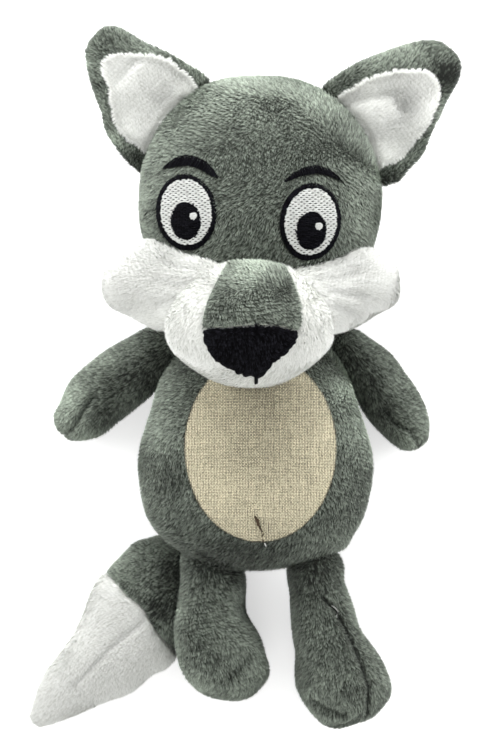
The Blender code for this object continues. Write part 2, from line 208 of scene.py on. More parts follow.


# a plush cloth: the pile's own material, and one for the backing under it, painted darker as the shade under the pile
def makePlush(name, look):
    made = []
    for part, tip, hairy in (("pile", look["tip"], 1), ("backing", look["root"], 0)):
        material, tree, shader = principled(f"{name}_{part}")
        tone = addNode(tree, "ShaderNodeGroup", {
            "Tip Colour": (*tip, 1), "Shaded Root Colour": (*look["root"], 1), "Tuft Contrast": look["tuft"] * hairy,
            "Patch Contrast": look["patch"]}, node_tree=pileTone)
        fillInputs(tree, shader, {
            "Base Color": tone.outputs["Colour"], "Roughness": 0.8, "Specular IOR Level": look["gloss"],
            "Sheen Weight": look["sheen"] * hairy, "Sheen Roughness": 0.45, "Sheen Tint": (*look["sheenTint"], 1)})
        made.append(material)
    return made


# painted shade: each root colour, used at the fibres' roots and for the whole backing, is darker than the plush to
# stand for the shade deep in the pile
greyLook = {"tip": (0.285, 0.327, 0.272), "root": (0.026, 0.030, 0.024), "tuft": 2.1, "patch": 0.35,
            "sheen": 0.6, "sheenTint": (0.93, 1.0, 0.90), "gloss": 0.25}
whiteLook = {"tip": (0.865, 0.875, 0.85), "root": (0.60, 0.61, 0.575), "tuft": 0.30, "patch": 0.06,
             "sheen": 0.10, "sheenTint": (1, 1, 1), "gloss": 0.2}
blackLook = {"tip": (0.017, 0.017, 0.022), "root": (0.002, 0.002, 0.003), "tuft": 2.6, "patch": 0.3,
             "sheen": 0.02, "sheenTint": (0.9, 0.93, 1), "gloss": 0.06}
greyPile, greyShadedBacking = makePlush("grey_plush", greyLook)
whitePile, whiteShadedBacking = makePlush("white_plush", whiteLook)
blackPile, blackShadedBacking = makePlush("black_plush", blackLook)


# colour of thread, from its dark to its light shade from stitch to stitch, and the height of its fine strands
def makeThreadTone():
    inputs = {"Dark Colour": "Color", "Light Colour": "Color"}
    group, inlet, outlet = newGroup("threadTone", inputs, {"Colour": "Color", "Strands": "Float"})
    tuft = addNode(group, "ShaderNodeAttribute", attribute_name="tuft")
    mixed = addNode(group, "ShaderNodeMix", {
        "Factor": tuft.outputs["Fac"], "A": inlet.outputs["Dark Colour"], "B": inlet.outputs["Light Colour"]},
        data_type="RGBA")
    place = group.nodes.new("ShaderNodeTexCoord")
    strands = addNode(group, "ShaderNodeTexNoise", {"Vector": place.outputs["Object"], "Scale": 5200})
    group.links.new(mixed.outputs["Result"], outlet.inputs["Colour"])
    group.links.new(strands.outputs["Fac"], outlet.inputs["Strands"])
    return group


threadTone = makeThreadTone()


def makeThread(name, colour, sheen, variation, gloss=0.2):
    material, tree, shader = principled(name)
    tone = addNode(tree, "ShaderNodeGroup", {
        "Dark Colour": (*[part * (1 - variation) for part in colour], 1),
        "Light Colour": (*[min(1, part * (1 + variation)) for part in colour], 1)}, node_tree=threadTone)
    bump = addNode(tree, "ShaderNodeBump", {"Strength": 0.25, "Distance": 0.0001, "Height": tone.outputs["Strands"]})
    fillInputs(tree, shader, {
        "Base Color": tone.outputs["Colour"], "Normal": bump.outputs["Normal"], "Roughness": 0.6,
        "Specular IOR Level": gloss, "Sheen Weight": sheen})
    return material


blackThread = makeThread("black_thread", (0.0045, 0.0045, 0.006), 0.0, 0.7, 0.02)
whiteThread = makeThread("white_thread", (0.56, 0.57, 0.55), 0.05, 0.10)
darkBacking = makeThread("stitch_backing", (0.14, 0.14, 0.13), 0.0, 0.1)
paleThread = makeThread("pale_thread", (0.17, 0.185, 0.155), 0.05, 0.3)
brownThread = makeThread("brown_thread", (0.055, 0.036, 0.020), 0.0, 0.3)
linenThread = makeThread("linen_thread", (0.455, 0.415, 0.295), 0.06, 0.85)
# painted shade: a dark ground that shows as shade in the gaps of the linen weave
linenShadeGround = makeThread("linen_backing", (0.085, 0.070, 0.040), 0.0, 0.1)
print("materials ready")


def addPiece(name, mesh, material):
    piece = bpy.data.objects.new(name, mesh)
    scene.collection.objects.link(piece)
    mesh.materials.clear()
    mesh.materials.append(material)
    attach(piece, "root")
    return piece


# turns a piece's modifiers into its mesh
def applied(piece):
    solid = piece.evaluated_get(bpy.context.evaluated_depsgraph_get())
    mesh = bpy.data.meshes.new_from_object(solid)
    piece.modifiers.clear()
    old = piece.data
    piece.data = mesh
    mesh.name = piece.name
    bpy.data.meshes.remove(old)
    return mesh


def pointsOf(mesh):
    points = np.empty(len(mesh.vertices) * 3)
    mesh.vertices.foreach_get("co", points)
    return points.reshape(-1, 3)


def normalsOf(mesh):
    normals = np.empty(len(mesh.vertices) * 3)
    mesh.vertex_normals.foreach_get("vector", normals)
    return normals.reshape(-1, 3)


def setPoints(mesh, points):
    mesh.vertices.foreach_set("co", points.astype(np.float32).ravel())
    mesh.update()


def trianglesOf(mesh):
    mesh.calc_loop_triangles()
    triangles = np.empty(len(mesh.loop_triangles) * 3, dtype=np.int64)
    mesh.loop_triangles.foreach_get("vertices", triangles)
    return triangles.reshape(-1, 3)


# a search tree of a mesh's faces
def surfaceOf(mesh):
    return BVHTree.FromPolygons([tuple(p) for p in pointsOf(mesh)], trianglesOf(mesh).tolist())


# what a ray straight down at x, y meets
def lookDown(tree, x, y):
    return tree.ray_cast(Vector((x, y, 0.3)), Vector((0, 0, -1)))


# vectors at a length of 1
def unit(vectors):
    return vectors / (np.linalg.norm(vectors, axis=-1, keepdims=True) + 1e-12)


# an outline with its first point once more at its end
def closed(outline):
    return np.vstack((outline, outline[:1]))


# smooth noise from -1 to 1 over points, with bumps of about this size
def waves(points, size, seed, count=7):
    random = np.random.default_rng(seed)
    total = np.zeros(len(points))
    for _ in range(count):
        direction = unit(random.normal(size=3))
        stretch = random.uniform(0.6, 1.6)
        total += np.sin(points @ direction * (2 * math.pi / size * stretch) + random.uniform(0, 6.28))
    return total / math.sqrt(count)


# how far each point is from a polyline, seen from above
def distanceToPath(points, path):
    nearest = np.full(len(points), 1e9)
    for a, b in zip(path[:-1], path[1:]):
        run = b - a
        t = np.clip(((points[:, :2] - a) @ run) / max(run @ run, 1e-12), 0, 1)
        nearest = np.minimum(nearest, np.linalg.norm(points[:, :2] - a - t[:, None] * run, axis=1))
    return nearest


# presses seams and folds into the upper side; a negative depth raises a ridge
def press(mesh, creases):
    for crease in creases:
        points, normals = pointsOf(mesh), normalsOf(mesh)
        path = [fromPhoto(pixel, crease["height"]) for pixel in crease["path"]]
        near = np.exp(-(distanceToPath(points, path) / crease["width"]) ** 2)
        facing = np.clip(normals[:, 2] * 3 + 0.3, 0, 1)
        setPoints(mesh, points - normals * (crease["depth"] * near * facing)[:, None])


# moves points near pixels of the photograph sideways, by as many pixels as given
def pulled(points, pulls, height):
    moved = points.copy()
    for pixel, reach, shift in pulls:
        away = np.linalg.norm(points[:, :2] - fromPhoto(pixel, height), axis=1) / (reach * pixelSize)
        moved[:, :2] += np.exp(-away ** 2)[:, None] * np.array((shift[0], -shift[1])) * pixelSize
    return moved


# which points lie inside a closed outline, seen from above
def insideOutline(points, outline):
    x, y = points[:, 0], points[:, 1]
    inside = np.zeros(len(points), dtype=bool)
    for a, b in zip(outline, np.roll(outline, -1, axis=0)):
        crosses = (a[1] > y) != (b[1] > y)
        slope = (b[0] - a[0]) / (b[1] - a[1] if abs(b[1] - a[1]) > 1e-12 else 1e-12)
        inside ^= crosses & (x < a[0] + (y - a[1]) * slope)
    return inside


stuffedNodes = ("torso", "head", "left_ear", "right_ear", "left_cheek", "right_cheek", "muzzle", "left_arm",
                "right_arm", "left_leg", "right_leg", "tail_base", "tail_tip")
nodeTrees = {name: surfaceOf(frame["nodes"][name].data) for name in stuffedNodes}
freeCloth = {}

# how near another form counts, in metres: the cloth is held where one is closer than sewn, and comes free over fade
sewing = {"reach": 0.004, "touching": 0.0008, "sewn": 0.0006, "fade": 0.0022}


# 0 where a form touches another one, rising to 1 where its surface is free
def openness(points, normals, node):
    low, high = points.min(0) - sewing["reach"], points.max(0) + sewing["reach"]
    near = []
    for other in stuffedNodes:
        otherLow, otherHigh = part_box(other)
        if other != node and all(otherLow[k] < high[k] and otherHigh[k] > low[k] for k in range(3)):
            near.append(nodeTrees[other])
    reach = np.full(len(points), sewing["reach"])
    for k, point in enumerate(points):
        for tree in near:
            spot, _, _, distance = tree.find_nearest(Vector(point), sewing["reach"])
            if spot is None:
                continue
            behind = (np.array(spot) - point) @ normals[k] < -0.3 * distance
            if distance < sewing["touching"] or not behind:
                reach[k] = min(reach[k], distance)
    return np.clip((reach - sewing["sewn"]) / sewing["fade"], 0, 1)


# values at a mesh's points, evened out with their neighbours
def spreadOut(mesh, values, times):
    ends = np.empty(len(mesh.edges) * 2, dtype=np.int64)
    mesh.edges.foreach_get("vertices", ends)
    one, other = ends.reshape(-1, 2).T
    neighbours = np.maximum(np.bincount(np.concatenate((one, other)), minlength=len(values)), 1)
    for _ in range(times):
        total = np.bincount(one, values[other], len(values)) + np.bincount(other, values[one], len(values))
        values = (values + total / neighbours) / 2
    return values


# how the cloth of the stuffed forms is blown up from inside; it is held where it is sewn or lies on the surface
stuffing = {"frames": 20, "mostMoved": 0.0014, "lies": 0.0015, "cloth": {
    "quality": 5, "mass": 0.15, "tension_stiffness": 12, "compression_stiffness": 12, "shear_stiffness": 5,
    "bending_stiffness": 0.3, "use_pressure": True, "uniform_pressure_force": 4.0, "vertex_group_mass": "sewn"}}


# a modifier that remakes a mesh with even faces
def remesh(piece, voxel):
    even = piece.modifiers.new("even", "REMESH")
    even.mode = "VOXEL"
    even.voxel_size = voxel


# how the filling moves the cloth of each form: start points and movements from a cloth simulation
def stuffedMovement(forms):
    cloths = {}
    for name, form in forms.items():
        cloth = bpy.data.objects.new(f"{name}_cloth", frame["nodes"][name].data.copy())
        scene.collection.objects.link(cloth)
        remesh(cloth, form["clothVoxel"])
        evened = applied(cloth)
        start = pointsOf(evened)
        sewn = cloth.vertex_groups.new(name="sewn")
        for k, free in enumerate(openness(start, normalsOf(evened), name)):
            if free < 0.5 or start[k][2] < stuffing["lies"]:
                sewn.add([k], 1.0, "REPLACE")
        blown = cloth.modifiers.new("cloth", "CLOTH")
        for setting, value in stuffing["cloth"].items():
            setattr(blown.settings, setting, value)
        blown.settings.effector_weights.gravity = 0
        cloths[name] = (cloth, start)
    for step in range(1, stuffing["frames"] + 1):
        scene.frame_set(step)
    moved = {}
    for name, (cloth, start) in cloths.items():
        ended = cloth.evaluated_get(bpy.context.evaluated_depsgraph_get()).to_mesh()
        shift = pointsOf(ended) - start
        length = np.linalg.norm(shift, axis=1)[:, None] + 1e-12
        shift *= np.minimum(1, stuffing["mostMoved"] / length)
        moved[name] = (start, shift)
    for cloth, _ in cloths.values():
        bpy.data.objects.remove(cloth, do_unlink=True)
    scene.frame_set(1)
    return moved


# the cloth's movement at other points, from its nearest start points
def carried(points, movement):
    start, shift = movement
    tree = KDTree(len(start))
    for k, point in enumerate(start):
        tree.insert(point, k)
    tree.balance()
    result = np.empty_like(points)
    for k, point in enumerate(points):
        near = tree.find_n(point, 8)
        weights = np.array([1 / (distance + 0.0005) ** 2 for _, _, distance in near])
        result[k] = (shift[[index for _, index, _ in near]] * weights[:, None]).sum(0) / weights.sum()
    return result


# the cloth of a stuffed form: the CAD solid, evened out, blown up and set in by the pile's height
def makeSkin(node, form, movement, backing, slot, recess=None):
    mesh = frame["nodes"][node].data.copy()
    if "backed" in form:
        # a thin shell over its neighbours is thickened downwards, inside them
        bm = bmesh.new()
        bm.from_mesh(mesh)
        copied = bmesh.ops.duplicate(bm, geom=bm.faces[:])["geom"]
        bmesh.ops.translate(bm, verts=[g for g in copied if isinstance(g, bmesh.types.BMVert)],
                            vec=(0, 0, -form["backed"]))
        bm.to_mesh(mesh)
        bm.free()
    skin = addPiece(f"{node}_skin", mesh, backing)
    remesh(skin, form["voxel"])
    soften = skin.modifiers.new("soften", "SMOOTH")
    soften.factor = 0.5
    soften.iterations = form["soften"]
    mesh = applied(skin)
    points, normals = pointsOf(mesh), normalsOf(mesh)
    free = spreadOut(mesh, openness(points, normals, node), form["evened"])
    freeCloth[skin.name] = free
    lumps = waves(points, form["lumpSize"], form["seed"]) * form["lumps"]
    sewnIn = form["tuckedOut"] * np.clip(1 - free * 3, 0, 1)
    points = points + normals * ((lumps - form["setIn"]) * free + sewnIn)[:, None]
    if movement:
        points = points + carried(pointsOf(mesh), movement) * free[:, None] * form["yielding"]
    setPoints(mesh, pulled(points, form["pulls"], form["level"]))
    press(mesh, form["creases"])
    if recess is not None:
        points, normals = pointsOf(mesh), normalsOf(mesh)
        inside = insideOutline(points, recess) & (normals[:, 2] > 0.2)
        fade = np.clip(distanceToPath(points, closed(recess)) / form["rim"], 0, 1)
        for k in np.flatnonzero(inside):
            toHead = nodeTrees["head"].find_nearest(Vector(points[k]))[3]
            fade[k] = max(fade[k], 1 - toHead / (form["rim"] * 2))
        setPoints(mesh, points - normals * (inside * form["recess"] * fade)[:, None])
    points = pointsOf(mesh)
    points[:, 2] = np.maximum(points[:, 2], form["lowest"])
    setPoints(mesh, points)
    mesh.shade_smooth()
    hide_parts(node)
    return skin


# a random number from 0 to 1 for each row of whole numbers
def hashed(cells, seed):
    mixed = (cells[:, 0] * 73856093) ^ (cells[:, 1] * 19349663) ^ (cells[:, 2] * 83492791) ^ (seed * 2654435)
    mixed = (mixed ^ (mixed >> 13)) * 1274126177
    mixed = mixed ^ (mixed >> 16)
    return (mixed & 0xFFFFF) / float(0xFFFFF)


# where the pile is rooted: points spread evenly over a skin, and which way it faces there
def pickRoots(skin, pile, random, keepOut, only):
    mesh = skin.data
    points, normals, triangles = pointsOf(mesh), normalsOf(mesh), trianglesOf(mesh)
    a, b, c = (points[triangles[:, k]] for k in range(3))
    across = np.cross(b - a, c - a)
    area = np.linalg.norm(across, axis=1) / 2
    faceUp = across[:, 2] / (2 * area + 1e-15)
    weight = area * np.where(faceUp < -0.35, pile["underneath"], 1)
    weight[((a + b + c) / 3)[:, 2] < pile["bareBelow"]] = 0
    if skin.name in freeCloth:
        weight *= np.clip(freeCloth[skin.name][triangles].mean(1) * 2.5, 0, 1)
    pick = random.choice(len(triangles), pile["count"], p=weight / weight.sum())
    u, v = random.random(pile["count"]), random.random(pile["count"])
    over = u + v > 1
    u[over], v[over] = 1 - u[over], 1 - v[over]
    chosen, shares = triangles[pick], (1 - u - v, u, v)
    root = sum(points[chosen[:, k]] * share[:, None] for k, share in enumerate(shares))
    normal = unit(sum(normals[chosen[:, k]] * share[:, None] for k, share in enumerate(shares)))
    keep = np.ones(len(root), dtype=bool)
    for outline in keepOut:
        keep &= ~(insideOutline(root, outline) & (normal[:, 2] > -0.1))
    if only is not None:
        keep &= insideOutline(root, only) & (normal[:, 2] > 0)
    return root[keep], normal[keep]


# brushed patches: above 0 the pile lies flatter and is painted lighter, below 0 it stands up and is painted darker,
# as painted light and shade; pressed-in seams and folds add painted shade
def brushAndPaintedLightOf(root, normal, pile):
    brushAndLight = np.zeros(len(root))
    for pixel, reach, amount in pile["brushedAndLitPatches"]:
        away = np.linalg.norm(root[:, :2] - fromPhoto(pixel, pile["level"]), axis=1) / (reach * pixelSize)
        brushAndLight += amount * np.exp(-away ** 2)
    # painted shade: the pile in pressed-in seams and folds is darkened, and stands up a little
    for crease in pile["creases"]:
        path = [fromPhoto(pixel, crease["height"]) for pixel in crease["path"]]
        near = np.exp(-(distanceToPath(root, path) / (crease["width"] * 0.9)) ** 2)
        brushAndLight -= crease["foldShade"] * near * (normal[:, 2] > 0) * (crease["depth"] > 0)
    return brushAndLight * (normal[:, 2] > -0.3)


# loose fibres, each a triangle with its own normal and tone, and a cell of its own on the cloth's map
def fibreMesh(name, corners, shade, tone):
    count = len(corners)
    mesh = bpy.data.meshes.new(name)
    mesh.vertices.add(count * 3)
    mesh.vertices.foreach_set("co", corners.astype(np.float32).ravel())
    mesh.loops.add(count * 3)
    mesh.loops.foreach_set("vertex_index", np.arange(count * 3, dtype=np.int32))
    mesh.polygons.add(count)
    mesh.polygons.foreach_set("loop_start", np.arange(0, count * 3, 3, dtype=np.int32))
    mesh.update(calc_edges=True)
    for label, kind, field, values in (
            ("custom_normal", "FLOAT_VECTOR", "vector", np.repeat(shade, 3, axis=0)),
            ("along", "FLOAT", "value", np.tile((0.0, 0.0, 1.0), count)),
            ("tuft", "FLOAT", "value", np.repeat(tone, 3))):
        mesh.attributes.new(label, kind, "POINT").data.foreach_set(field, values.astype(np.float32).ravel())
    perRow = math.ceil(math.sqrt(count))
    cells = np.stack((np.arange(count) % perRow, np.arange(count) // perRow), axis=1)
    places = (cells[:, None, :] + np.array(((0.1, 0.1), (0.9, 0.1), (0.5, 0.9)))) / perRow
    mesh.uv_layers.new(name="OFBake").data.foreach_set("uv", places.astype(np.float32).ravel())
    return mesh


# plush pile as short tapering fibres, rooted in a skin and brushed along its nap
def growPile(name, skin, pile, material, keepOut=(), only=None):
    random = np.random.default_rng(pile["seed"])
    root, normal = pickRoots(skin, pile, random, keepOut, only)
    count = len(root)

    # tufts, longer along the nap, share a brightness and a turn; where the nap would run into the cloth, they
    # lie aside
    napAxis = unit(np.array(pile["nap"], dtype=float))
    sideAxis = unit(np.cross(napAxis, (0.1, 0.2, 1.0)))
    crossAxis = np.cross(napAxis, sideAxis)
    axes = np.stack((napAxis, sideAxis, crossAxis))
    axesAside = np.stack((sideAxis, crossAxis, napAxis))
    warp = np.stack([waves(root, pile["warpSize"], pile["seed"] + 11 + k) for k in range(3)], axis=1)
    place = root + warp * pile["warp"] + random.normal(scale=pile["blur"], size=(count, 3))
    headOn = np.abs(normal @ napAxis)
    aside = (headOn > 0.6)[:, None]
    farOff = 7  # keeps the cells of tufts that lie aside apart from the others
    inNap = np.where(aside, place @ axesAside.T + farOff, place @ axes.T)
    tuftSize = np.array(pile["tuftSize"])
    cells = np.floor(inNap / tuftSize).astype(np.int64)
    tuft = hashed(cells, pile["seed"])
    tuftTurn = (hashed(cells, pile["seed"] + 1) - 0.5) * 2
    rowWarp = waves(root, pile["rowWarpSize"], pile["seed"] + 4) * pile["rowWarp"]
    rows = np.sin(inNap[:, 0] * (2 * math.pi / pile["rowSize"]) + rowWarp)
    brushAndLight = brushAndPaintedLightOf(root, normal, pile)

    # which way each fibre heads along the cloth, and how far it leans
    asideShare = np.clip((headOn - 0.45) / 0.3, 0, 1)[:, None]
    nap = napAxis * (1 - asideShare) + sideAxis * asideShare
    if "spread" in pile:
        # towards a panel's edge the pile turns outwards over it
        outward = np.zeros((count, 3))
        outward[:, :2] = root[:, :2] - only.mean(0)
        share = np.exp(-(distanceToPath(root, closed(only)) / pile["spread"]) ** 2)[:, None]
        nap = nap * (1 - share) + unit(outward) * share * 1.5
    swirl = waves(root, pile["swirlSize"], pile["seed"] + 2) * pile["swirl"]
    turn = swirl + tuftTurn * pile["tuftTurn"] + random.normal(scale=pile["turns"], size=count)
    nap = unit(nap - normal * (nap * normal).sum(1)[:, None])
    heading = nap * np.cos(turn)[:, None] + np.cross(normal, nap) * np.sin(turn)[:, None]
    lean = np.radians(pile["lean"]) + rows * pile["rows"] + brushAndLight * pile["brushLean"]
    lean = np.clip(lean + random.normal(scale=pile["leans"], size=count), *pile["leanRange"])
    length = pile["length"] * random.uniform(*pile["lengths"], count)
    fibre = unit(heading * np.sin(lean)[:, None] + normal * np.cos(lean)[:, None])
    flat = unit(np.cross(fibre, normal))
    twist = random.normal(scale=pile["twists"], size=count)
    edge = flat * np.cos(twist)[:, None] + np.cross(flat, fibre) * np.sin(twist)[:, None]
    half = edge * (pile["width"] / 2 * random.uniform(*pile["widths"], count))[:, None]

    # the fibres of a tuft lean together at their tips
    fromMiddle = inNap - (cells + 0.5) * tuftSize
    fromMiddle = np.where(aside, fromMiddle @ axesAside, fromMiddle @ axes)
    fromMiddle -= normal * (fromMiddle * normal).sum(1)[:, None]
    tip = root + fibre * length[:, None] - fromMiddle * pile["clump"]
    corners = np.stack((root - half, root + half, tip), axis=1)
    made = np.cross(corners[:, 1] - corners[:, 0], corners[:, 2] - corners[:, 0])
    wrong = (made * normal).sum(1) < 0
    corners[wrong] = corners[wrong][:, [1, 0, 2]]
    made[wrong] *= -1
    corners[..., 2] = np.maximum(corners[..., 2], pile["lowest"])
    shade = unit(normal * (1 - pile["relief"]) + unit(made) * pile["relief"])
    ofTuft, ofFibre, ofRow = pile["toneShares"]
    tone = ofTuft * tuft + ofFibre * random.random(count) + ofRow * (0.5 + 0.5 * rows)
    # painted light and shade: the brushed patches lighten and darken the tone, besides laying the pile flatter or
    # standing it up
    tone = 0.5 + (tone ** pile["skew"] - 0.5) * pile["tuftShare"] + brushAndLight * pile["paintedLightTone"]
    return addPiece(name, fibreMesh(name, corners, shade, tone), material)


# where a point let down from above lands on a surface, and which way the surface faces there
def dropOn(tree, x, y):
    hit, normal, _, _ = lookDown(tree, x, y)
    if hit is None:
        hit, normal, _, _ = tree.find_nearest(Vector((x, y, 0.05)))
    return hit, normal if normal.z > 0 else -normal


# a CAD panel's outline seen from above, found along evenly turned rays from its middle
def nodeOutline(node, count=72, grow=0.0):
    tree = surfaceOf(frame["nodes"][node].data)
    low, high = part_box(node)
    centre = np.array(((low.x + high.x) / 2, (low.y + high.y) / 2))
    farthest = math.hypot(high.x - low.x, high.y - low.y) / 2 + 0.001
    reach = np.zeros(count)
    for k in range(count):
        angle = 2 * math.pi * k / count
        for distance in np.arange(farthest, 0, -0.0002):
            x, y = centre + distance * np.array((math.cos(angle), math.sin(angle)))
            if lookDown(tree, x, y)[0] is not None:
                reach[k] = distance
                break
    reach = (np.roll(reach, 1) + 2 * reach + np.roll(reach, -1)) / 4 + grow
    angles = np.linspace(0, 2 * math.pi, count, endpoint=False)
    return centre + reach[:, None] * np.stack((np.cos(angles), np.sin(angles)), axis=1)


# a closed outline through photograph pixels, with evenly spaced points
def evenOutline(pixels, height, count, grow=0.0, ragged=0.0):
    corners = np.array([fromPhoto(pixel, height) for pixel in pixels])
    path = closed(corners)
    run = np.concatenate(([0], np.cumsum(np.linalg.norm(np.diff(path, axis=0), axis=1))))
    places = np.linspace(0, run[-1], count, endpoint=False)
    outline = np.stack([np.interp(places, run, path[:, k]) for k in range(2)], axis=1)
    outline = (np.roll(outline, 1, axis=0) + 2 * outline + np.roll(outline, -1, axis=0)) / 4
    outward = np.random.default_rng(62).normal(grow, ragged, count)
    return outline + unit(outline - outline.mean(0)) * outward[:, None]


# an outline drawn in to where a surface lies under it
def drawnIn(outline, tree):
    centre = outline.mean(0)
    fitted = []
    for spot in outline:
        for share in np.arange(1, 0.4, -0.01):
            x, y = centre + (spot - centre) * share
            if lookDown(tree, x, y)[0] is not None:
                break
        fitted.append((x, y))
    return np.array(fitted)


# a closed panel that lies on a surface inside an outline
def drapedPanel(name, outline, tree, lift, thickness, material, rings=14):
    centre = outline.mean(0)
    bm = bmesh.new()
    top = []
    for ring in range(rings + 1):
        row = []
        for spot in outline if ring else outline[:1]:
            x, y = centre + (spot - centre) * (ring / rings)
            hit, normal = dropOn(tree, x, y)
            row.append(bm.verts.new(hit + normal * lift))
        top.append(row)
    count = len(outline)
    for k in range(count):
        bm.faces.new((top[0][0], top[1][k], top[1][(k + 1) % count]))
    for inner, outer in zip(top[1:-1], top[2:]):
        for k in range(count):
            bm.faces.new((inner[k], outer[k], outer[(k + 1) % count], inner[(k + 1) % count]))
    mesh = meshFrom(bm, name)
    mesh.shade_smooth()
    piece = addPiece(name, mesh, material)
    thick = piece.modifiers.new("cloth", "SOLIDIFY")
    thick.thickness = thickness
    thick.offset = -1
    applied(piece)
    return piece


# embroidery stitches, each an arched strand pulled down at its ends
def stitchMesh(name, stitches, material, lift, random):
    profile = ((0.0, -0.25), (0.14, 0.75), (0.5, 1.0), (0.86, 0.75), (1.0, -0.25))
    section = ((-0.5, 0.0), (-0.26, 0.8), (0.26, 0.8), (0.5, 0.0))
    bm = bmesh.new()
    tone = bm.verts.layers.float.new("tuft")
    for start, startNormal, end, endNormal, width, height in stitches:
        shade = random.random()
        run = end - start
        rows = []
        for share, raised in profile:
            up = startNormal.lerp(endNormal, share).normalized()
            sideways = run.cross(up).normalized() * width
            middle = start + run * share + up * (lift + raised * height * 0.5)
            row = []
            for across, above in section:
                vert = bm.verts.new(middle + sideways * across + up * (above * height))
                vert[tone] = shade
                row.append(vert)
            rows.append(row)
        for low, high in zip(rows[:-1], rows[1:]):
            for k in range(3):
                bm.faces.new((low[k + 1], low[k], high[k], high[k + 1]))
            bm.faces.new((low[0], low[3], high[3], high[0]))
        bm.faces.new(rows[0])
        bm.faces.new(rows[-1][::-1])
    bmesh.ops.recalc_face_normals(bm, faces=bm.faces)
    mesh = meshFrom(bm, name)
    mesh.shade_smooth()
    return addPiece(name, mesh, material)


# fills a region with rows of parallel stitches, their ends staggered like bricks
def fillWithStitches(name, tree, box, isInside, thread, material, angle=0.0):
    random = np.random.default_rng(thread["seed"])
    low, high = box
    centre = (low + high) / 2
    reach = np.linalg.norm(high - low) / 2
    ahead = np.array((math.cos(angle), math.sin(angle)))
    aside = np.array((-math.sin(angle), math.cos(angle)))
    stitches = []
    rowCount = int(2 * reach / thread["pitch"])
    steps = np.arange(-reach, reach, thread["step"])
    for row in range(rowCount):
        offset = -reach + (row + 0.5) * thread["pitch"]
        spots = centre + steps[:, None] * ahead + offset * aside
        inside = isInside(spots)
        edges = np.flatnonzero(np.diff(np.concatenate(([0], inside.astype(int), [0]))))
        for first, last in zip(edges[::2], edges[1::2]):
            begin = steps[first] - random.uniform(0, thread["ragged"])
            finish = steps[min(last, len(steps) - 1)] + random.uniform(0, thread["ragged"])
            if finish - begin < thread["shortest"]:
                continue
            # every other row shows its joints, half a stitch along from the row of joints above it
            gap = thread["gap"] if row % 2 == 0 else 0
            cuts = [begin - gap / 2]
            brick = (row // 2 * 0.5 % 1) * thread["length"]
            mark = math.floor((begin - brick) / thread["length"]) * thread["length"] + brick
            while mark < finish:
                if min(mark - begin, finish - mark) > thread["shortestEnd"]:
                    cuts.append(mark + random.normal(scale=thread["uneven"] * 2))
                mark += thread["length"]
            cuts.append(finish + gap / 2)
            for x0, x1 in zip(cuts[:-1], cuts[1:]):
                x0, x1 = x0 + gap / 2, x1 - gap / 2
                ends = []
                for x in (x0, x1):
                    spot = centre + x * ahead + (offset + random.normal(scale=thread["uneven"])) * aside
                    ends.extend(dropOn(tree, *spot))
                stitches.append((*ends, thread["pitch"] * thread["overlap"], thread["height"]))
    return stitchMesh(name, stitches, material, thread["lift"], random)


# satin stitches across the band between two outlines
def ringOfStitches(name, tree, outside, inside, thread, material):
    random = np.random.default_rng(thread["seed"])
    length = np.linalg.norm(outside - np.roll(outside, 1, axis=0), axis=1).sum()
    count = int(length / thread["pitch"])
    stitches = []
    for k in range(count):
        place = k / count * len(outside)
        ends = []
        for outline, over in ((inside, -1), (outside, 1)):
            low = int(place) % len(outline)
            spot = outline[low] + (outline[(low + 1) % len(outline)] - outline[low]) * (place % 1)
            spot = spot + unit(spot - outline.mean(0)) * over * random.uniform(-0.2, 1) * thread["ragged"]
            ends.extend(dropOn(tree, *spot))
        stitches.append((*ends, thread["pitch"] * thread["overlap"], thread["height"]))
    return stitchMesh(name, stitches, material, thread["lift"], random)


# a seam or fold: pixels of the photograph that it runs through, how high it lies, how wide and how deep it is pressed
# in (below 0 it is a ridge), and how much painted shade darkens the pile in it
def seam(path, height, width, depth, foldShade=0.6):
    return {"path": path, "height": height, "width": width, "depth": depth, "foldShade": foldShade}
